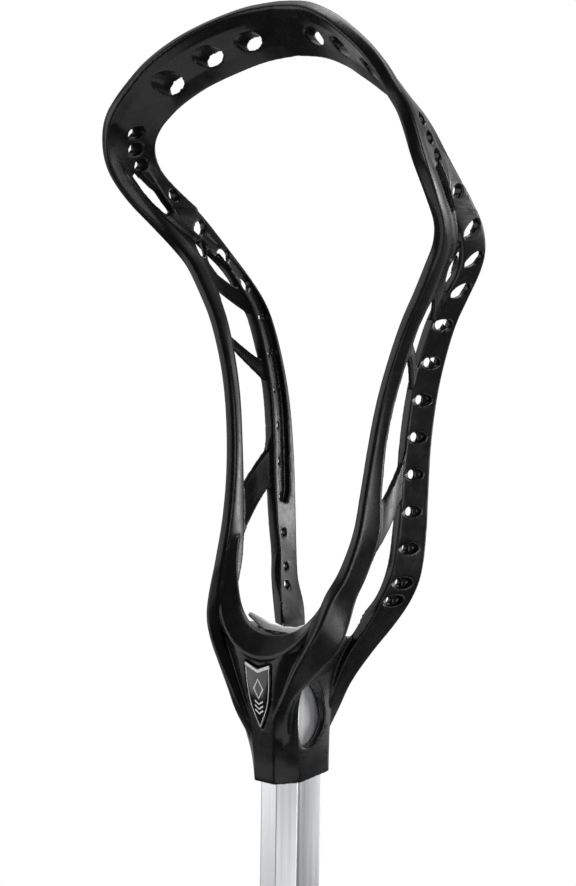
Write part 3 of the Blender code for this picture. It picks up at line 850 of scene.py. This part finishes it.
def rear_rail_profile(width, height, share):
    """Standing out and thinner at the shoulder."""
    scoop = ease(share, *RAIL_SCOOP)
    out = shoulder(height, share)
    sink = rail_sink(height)
    inner = REAR_RAIL_FACES[0] + REAR_RAIL_LOSS * scoop + SHOULDER_MOVES[0] * out - sink
    outer = REAR_RAIL_FACES[1] + SHOULDER_MOVES[1] * out - sink
    return bar(0, width + REAR_RAIL_PAST, inner, outer, REAR_RAIL_EDGE_R)


def lip_profile(width, _height, _share):
    return bar(0, width, -LIP_HALF, LIP_HALF, LIP_EDGE_R, bulge_in=LIP_BULGE, bulge_out=LIP_BULGE)


def channel_profile(_width, height, share):
    """The channel's section, from inside the rail's inner face to the channel's floor."""
    to_start = height - CHANNEL_SPAN[0] + CHANNEL_PAST
    to_end = CHANNEL_SPAN[1] + CHANNEL_PAST - height
    opened = max(0.0, min(1.0, to_start / CHANNEL_END, to_end / CHANNEL_END))
    middle = sum(CHANNEL) / 2
    half = (CHANNEL[1] - CHANNEL[0]) / 2
    half *= CHANNEL_TIP + (1 - CHANNEL_TIP) * opened
    floor = CHANNEL_FLOOR + CHANNEL_FLOOR_MOVE * shoulder(height, share)
    return bar(middle - half, middle + half, CHANNEL_INSIDE, floor, CHANNEL_EDGE_R)


def window_cutters(windows):
    """The columns that cut windows through the right side wall."""
    return [prism_x("window", rounded(outline, radius), WINDOW_SPAN) for outline, radius in windows]


def hole_cutters():
    """String holes, the ovals of the shoulder and the scoop's holes."""
    cutters = []
    for y, z in RAIL_HOLES:
        start, end = ((x, y, z + COLLAR_Z) for x in RAIL_HOLE_SPAN)
        cutters.append(rod("hole", start, end, RAIL_HOLE_R))
    for x, y, z in BAND_HOLES:
        place = Vector((x, y, z + COLLAR_Z))
        cutters.append(rod("hole", place - BAND_HOLE_REACH, place + BAND_HOLE_REACH, BAND_HOLE_R))
    for (y, z), angle in OVALS:
        start, end = ((x, y, z + COLLAR_Z) for x in OVAL_SPAN)
        cutters.append(oval_rod("oval", start, end, OVAL_HALF, angle))
    for (x, y, z), angle in SCOOP_HOLES:
        place = Vector((x, y, z + COLLAR_Z))
        cutters.append(oval_rod("scoop_hole", place - SCOOP_HOLE_AXIS * 0.5, place + SCOOP_HOLE_AXIS,
                                SCOOP_HOLE_HALF, angle))
    return cutters


def pocket_cutters(rail_front, rail_rear):
    """Oval pockets round the rail's holes, cut a little way into its outer face."""
    cutters = []
    heights = rail_front[:SIDE_STATIONS, 2] - COLLAR_Z
    for y, z in RAIL_HOLES:
        index = int(np.argmin(np.abs(heights - z)))
        share = (y - rail_front[index, 1]) / (rail_rear[index, 1] - rail_front[index, 1])
        x = rail_front[index, 0] + share * (rail_rear[index, 0] - rail_front[index, 0])
        place = Vector((x + REAR_RAIL_FACES[1] - POCKET_DEPTH, y + POCKET_SHIFT, z + COLLAR_Z))
        cutters.append(oval_rod("pocket", place, place + Vector((POCKET_REACH, 0, 0)), POCKET_HALF))
    return cutters


def make_head():
    """The head is one moulding: throat, lip, rails and web joined, then pierced."""
    front_rail_rear = head_edge(FRONT_RAIL_REAR)
    rear_rail_front = head_edge(REAR_RAIL_FRONT)
    rear_edge = head_edge(REAR_EDGE)
    head = make_throat()
    combine(head, seat_cutters() + window_cutters(WINDOWS[-1:]), "DIFFERENCE")
    web = strip("web", front_rail_rear, rear_rail_front, web_profile)
    combine(web, window_cutters(WINDOWS), "DIFFERENCE")
    rear_rail = strip("rear_rail", rear_rail_front, rear_edge, rear_rail_profile)
    channel = strip("channel", rear_rail_front, rear_edge, channel_profile, CHANNEL_SPAN)
    combine(rear_rail, [channel] + pocket_cutters(rear_rail_front, rear_edge), "DIFFERENCE")
    front_rail = strip("front_rail", head_edge(FRONT_EDGE), front_rail_rear, front_rail_profile)
    lip = strip("lip", head_edge(LIP_FRONT, LIP_STATIONS), head_edge(LIP_REAR, LIP_STATIONS), lip_profile)
    combine(head, [web, rear_rail, front_rail, lip], "UNION")
    combine(head, hole_cutters() + [
        loft("socket", [octagon(GAP, COLLAR_Z - CLEAR, 0),
                        octagon(GAP, COLLAR_Z + SHAFT_IN_HEAD + SOCKET_SPARE, 0)]),
        screw_path("spot_face", SCREW_FACE_Y, SPOT_REAR_Y, SCREW_HEAD_R + 2 * GAP),
        screw_path("screw_path", *SCREW_PATH, SCREW_R + GAP),
        badge_prism("recess", GAP, BADGE_Y - RECESS_REACH, BADGE_Y + GAP),
        prism_x("teardrop", closed_curve(TEARDROP), TEARDROP_SPAN),
    ], "DIFFERENCE")
    mirror_half(head)
    soften(head, HEAD_VOXEL, passes=4, triangles=HEAD_TRIANGLES)
    head.name = "moulded_head"
    return head


# ---------- foam, badge, screw

def make_ball_stop():
    """The foam pad on the seat: a crescent in plan, bent to the seat's U, with soft edges."""
    rings = []
    for step in range(PAD_STATIONS + 1):
        x = PAD_HALF_WIDTH * (2 * step / PAD_STATIONS - 1)
        bend = (x / PAD_HALF_WIDTH) ** 2
        rear_y = PAD_REAR_Y - PAD_CRESCENT * bend
        thick = PAD_THICK - PAD_TAPER * bend
        lean = Vector((seat_height(x - 1, 0) - seat_height(x + 1, 0), 2 * SEAT_SLOPE, 2)).normalized()
        ring = []
        for along, lift in bar(0, rear_y - PAD_FRONT_Y, GAP, thick, PAD_EDGE_R):
            y = PAD_FRONT_Y + along
            ring.append(Vector((x, y, seat_height(x, y) + COLLAR_Z)) + lean * lift)
        rings.append(ring)
    pad = loft("foam_ball_stop", rings)
    combine(pad, [slit_cutter()], "DIFFERENCE")
    soften(pad, voxel=0.4, passes=4, triangles=30000)
    return pad


def slit_cutter():
    """The curved slit in the pad's top, widest at its middle."""
    rings = []
    for x in np.linspace(-SLIT_REACH, SLIT_REACH, SLIT_STATIONS):
        bend = (x / SLIT_REACH) ** 2
        y = SLIT_Y - SLIT_BEND * bend
        half = SLIT_HALF * (1 + SLIT_TIP - bend)
        low, high = (seat_height(x, y) + COLLAR_Z + level for level in SLIT_LEVELS)
        rings.append([(x, y - half, low), (x, y + half, low), (x, y + half, high), (x, y - half, high)])
    return loft("slit", rings)


def badge_side(scale=1.0):
    """The shield's right side from its tip to its upper corner, as a smooth curve in (x, z)."""
    return [(x * scale, z) for x, z in spline(BADGE_OUTLINE[:4], BADGE_SIDE_STEPS)]


def badge_prism(name, grow, front, rear):
    """The shield outline between two Y planes; grow widens it."""
    side = badge_side(1 + grow / BADGE_OUTLINE[3][0])
    side[0] = (0, side[0][1] - grow * BADGE_TIP_GROWTH)
    corner = side.pop()
    right = side + [(corner[0], corner[1] + grow), (0, BADGE_OUTLINE[4][1] + grow)]
    outline = right + [(-x, z) for x, z in reversed(right[1:-1])]
    rings = []
    for y in (front, rear):
        rings.append([(x, y - BADGE_LEAN * (z - outline[0][1]), z + COLLAR_Z) for x, z in outline])
    return loft(name, rings)


def on_badge(x, z, lift):
    """A point lift in front of the badge's face."""
    y = BADGE_Y - BADGE_THICK - BADGE_LEAN * (z - BADGE_OUTLINE[0][1]) - lift
    return Vector((x, y, z + COLLAR_Z))


def foil_line(name, points, width, closed=False):
    """A thin raised line of foil through (x, z) points on the badge."""
    rings = []
    count = len(points)
    under, over = FOIL_LEVELS
    for index, (x, z) in enumerate(points):
        before = points[index - 1] if closed or index else points[0]
        after = points[(index + 1) % count] if closed or index < count - 1 else points[-1]
        along = Vector((after[0] - before[0], after[1] - before[1])).normalized()
        side = Vector((-along.y, along.x)) * width / 2
        corners = ((1, under), (1, over), (-1, over), (-1, under))
        rings.append([on_badge(x + side.x * way, z + side.y * way, lift) for way, lift in corners])
    return loft(name, rings, closed)


def make_badge():
    """The black shield, with a fine bevel."""
    badge = badge_prism("enamel_badge", 0, BADGE_Y - BADGE_THICK, BADGE_Y)
    bevel = badge.modifiers.new("bevel", "BEVEL")
    bevel.width = BADGE_BEVEL * MM
    bevel.segments = 3
    bevel.limit_method = "ANGLE"
    apply_modifiers(badge)
    shade(badge, 30)
    return badge


def make_badge_foil():
    """The badge's bright lines: a fine rim, a V bar and a plain generic emblem."""
    side = [(x * RIM_SHARE[0], RIM_TO_Z + (z - RIM_FROM_Z) * RIM_SHARE[1]) for x, z in badge_side()]
    rim = [(-x, z) for x, z in reversed(side)] + side[1:]
    pieces = [
        foil_line("foil_rim", rim, RIM_WIDTH),
        foil_line("foil_bar", FOIL_BAR, FOIL_BAR_WIDTH),
        foil_line("foil_lozenge", LOZENGE, LOZENGE_WIDTH, closed=True),
    ]
    reach, rise = CHEVRON_REACH
    for level in CHEVRON_LEVELS:
        chevron = [(-reach, level + rise), (0, level), (reach, level + rise)]
        pieces.append(foil_line("foil_chevron", chevron, CHEVRON_WIDTH))
    return pieces


def screw_ring(y, radius_at):
    """A ring round the screw's axis; radius_at gives the radius at a share of the turn."""
    ring = []
    for step in range(SCREW_SIDES):
        angle = math.tau * step / SCREW_SIDES
        radius = radius_at(step / SCREW_SIDES)
        ring.append((radius * math.cos(angle), y, COLLAR_Z + SCREW_Z + radius * math.sin(angle)))
    return ring


def thread_radius(reach, turn):
    """The shank's radius at a distance from its tip: one ridge that winds round, and a taper."""
    phase = (reach / THREAD_PITCH - turn) % 1.0
    radius = SCREW_R - THREAD_ROOT + THREAD_HEIGHT * (1 - abs(2 * phase - 1))
    return radius * min(1.0, TIP_SHARE + (1 - TIP_SHARE) * reach / TIP_LENGTH)


def slot_cutter(half_x, half_z, top):
    """One slot of the cross recess, narrower at its floor."""
    rings = []
    for share, y in ((SLOT_FLOOR, top - SLOT_DEPTH), (1.0, top + SLOT_CLEAR)):
        x, z = half_x * share, half_z * share
        corners = ((-x, -z), (x, -z), (x, z), (-x, z))
        rings.append([(a, y, COLLAR_Z + SCREW_Z + b) for a, b in corners])
    return loft("slot", rings)


def make_screw():
    """The head's screw: a domed head with a cross recess on a threaded shank, along +Y."""
    face = SCREW_FACE_Y + GAP
    rings = []
    for reach in np.arange(0, SCREW_LENGTH, SCREW_STEP):
        rings.append(screw_ring(face - SCREW_LENGTH + reach, lambda turn: thread_radius(reach, turn)))
    screw = loft("steel_screw", rings)
    profile = [(AXIS_FLAT, 0.0), (SCREW_HEAD_R - HEAD_RIM / 2, 0.0), (SCREW_HEAD_R, HEAD_RIM)]
    for step in range(1, DOME_STEPS + 1):
        angle = math.radians(90 * step / DOME_STEPS)
        profile.append((SCREW_HEAD_R * math.cos(angle) + AXIS_FLAT,
                        HEAD_RIM + (SCREW_HEAD - HEAD_RIM) * math.sin(angle)))
    dome = loft("dome", [screw_ring(face - HEAD_SINK + y, lambda turn: radius) for radius, y in profile])
    combine(screw, [dome], "UNION")
    slots = [slot_cutter(x, z, face + SCREW_HEAD) for x, z in (SLOT_HALF, SLOT_HALF[::-1])]
    combine(screw, slots, "DIFFERENCE")
    shade(screw, 35)
    return screw


# ---------- shaft and cap

def make_shaft():
    """The aluminium tube: rounded corners, a fine chamfer at each end, and the screw's hole."""
    low, high = SHAFT_BOTTOM_Z, COLLAR_Z + SHAFT_IN_HEAD
    chamfer = SHAFT_CHAMFER
    sections = ((-chamfer, low), (0, low + chamfer), (0, high - chamfer), (-chamfer, high))
    shaft = loft("aluminium_shaft", [octagon(offset, z, SHAFT_CORNER_R) for offset, z in sections])
    bore = loft("bore", [octagon(-SHAFT_WALL, z, SHAFT_BORE_R) for z in (low - CLEAR, high + CLEAR)])
    combine(shaft, [bore, screw_path("screw_path", *SCREW_PATH, SCREW_R + GAP)], "DIFFERENCE")
    shade(shaft, 25)
    return shaft


def make_cap():
    """The rubber cap: a cup with a rounded end and grooves, which grips the shaft."""
    outside = GAP + CAP_WALL
    rings = []
    for step in range(CAP_ROUND_STEPS + 1):
        angle = math.radians(90 * step / CAP_ROUND_STEPS)
        rings.append(octagon(outside - CAP_ROUND * (1 - math.sin(angle)), CAP_ROUND * (1 - math.cos(angle)),
                             CAP_CORNER_R))
    for groove in range(CAP_GROOVES):
        for rise, depth in CAP_GROOVE:
            z = CAP_GROOVE_Z + groove * CAP_GROOVE_PITCH + rise
            rings.append(octagon(outside - depth, z, CAP_CORNER_R))
    for depth, drop in CAP_RIM:
        rings.append(octagon(outside - depth, CAP_SLEEVE - drop, CAP_CORNER_R))
    cap = loft("rubber_cap", rings)
    cup = loft("cup", [octagon(GAP, z, CUP_CORNER_R) for z in (CAP_FLOOR, CAP_SLEEVE + CLEAR)])
    dimple = rod("dimple", *((0, 0, z) for z in DIMPLE_SPAN), DIMPLE_R, sides=48)
    combine(cap, [cup, dimple], "DIFFERENCE")
    soften(cap, voxel=0.45, passes=2, triangles=60000)
    return cap


# ---------- stage

def make_camera():
    data = bpy.data.cameras.new("camera")
    data.lens = CAMERA_LENS
    data.sensor_width = CAMERA_SENSOR
    camera = bpy.data.objects.new("camera", data)
    bpy.context.scene.collection.objects.link(camera)
    azimuth, pitch, roll = (math.radians(v) for v in (CAMERA_AZIMUTH, CAMERA_PITCH, CAMERA_ROLL))
    level = Matrix.Rotation(azimuth, 4, "Z") @ Matrix.Rotation(math.pi / 2 - pitch, 4, "X")
    camera.matrix_world = Matrix.Translation(CAMERA_AT) @ level @ Matrix.Rotation(roll, 4, "Z")
    bpy.context.scene.camera = camera


def make_floor():
    angles = np.linspace(0, math.tau, FLOOR_SIDES, False)
    rim = [(FLOOR_R * math.cos(angle), FLOOR_R * math.sin(angle)) for angle in angles]
    floor = loft("floor", [[(x, y, z) for x, y in rim] for z in (FLOOR_Z - FLOOR_THICK, FLOOR_Z)])
    floor.data.materials.append(pale_floor())


def make_surround():
    """A white surround, at full strength for the camera and brightest to the rear as a light."""
    world = bpy.data.worlds.new("surround")
    bpy.context.scene.world = world
    world.use_nodes = True
    nodes, links = world.node_tree.nodes, world.node_tree.links
    background = nodes["Background"]
    background.inputs["Color"].default_value = (1, 1, 1, 1)
    place = nodes.new("ShaderNodeTexCoord")
    towards = nodes.new("ShaderNodeVectorMath")
    towards.operation = "DOT_PRODUCT"
    towards.inputs[1].default_value = SURROUND_TOWARDS.normalized()
    links.new(place.outputs["Generated"], towards.inputs[0])
    fall = map_range(nodes, links, towards.outputs["Value"], SURROUND_COSINES, SURROUND_STRENGTHS,
                     "SMOOTHSTEP")
    seen = nodes.new("ShaderNodeLightPath")
    choose = nodes.new("ShaderNodeMix")
    choose.inputs["B"].default_value = 1.0
    links.new(seen.outputs["Is Camera Ray"], choose.inputs["Factor"])
    links.new(fall, choose.inputs["A"])
    links.new(choose.outputs["Result"], background.inputs["Strength"])


def make_light(name, kind, power):
    data = bpy.data.lights.new(name, kind)
    data.energy = power
    light = bpy.data.objects.new(name, data)
    bpy.context.scene.collection.objects.link(light)
    return light


def make_lights():
    """A broad light from above and soft boxes that all face the stick."""
    sky = make_light("sky_panel", "SUN", SKY_POWER)
    sky.data.angle = math.radians(SKY_SPREAD)
    sky.rotation_euler = (math.radians(SKY_TILT[0]), math.radians(SKY_TILT[1]), 0)
    for name, at, aim_z, size, power in SOFT_BOXES:
        box = make_light(name, "AREA", power)
        box.data.shape = "RECTANGLE"
        box.data.size, box.data.size_y = size
        box.location = at
        box.rotation_euler = (Vector((0, 0, aim_z)) - Vector(at)).to_track_quat("-Z", "Y").to_euler()


# ---------- assembly

def finish_piece(piece, body, material, slot=None, *nodes):
    """Gives the piece its material and its body, and hides the CAD nodes that it stands for. The slot is not
    used.
    """
    piece.data.materials.clear()
    piece.data.materials.append(material)
    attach(piece, body)
    if nodes:
        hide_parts(*nodes)


def main():
    make_camera()
    make_floor()
    make_surround()
    make_lights()
    bpy.context.scene.view_settings.view_transform = "Standard"
    finish_piece(make_head(), "stick", black_nylon(), "black_nylon", "head_frame")
    foam = make_ball_stop()
    finish_piece(foam, "stick", white_foam(), "white_foam", "ball_stop")
    finish_piece(make_badge(), "stick", badge_enamel(), "badge_enamel", "badge")
    foil = silver_foil()
    for index, piece in enumerate(make_badge_foil()):
        piece.name = f"badge_foil_{index}"
        finish_piece(piece, "stick", foil)
    finish_piece(make_screw(), "screw", zinc_steel(), "zinc_steel", "head_screw")
    finish_piece(make_shaft(), "stick", satin_aluminium(), "satin_aluminium", "shaft")
    finish_piece(make_cap(), "cap", black_rubber(), "black_rubber", "butt_cap")


main()
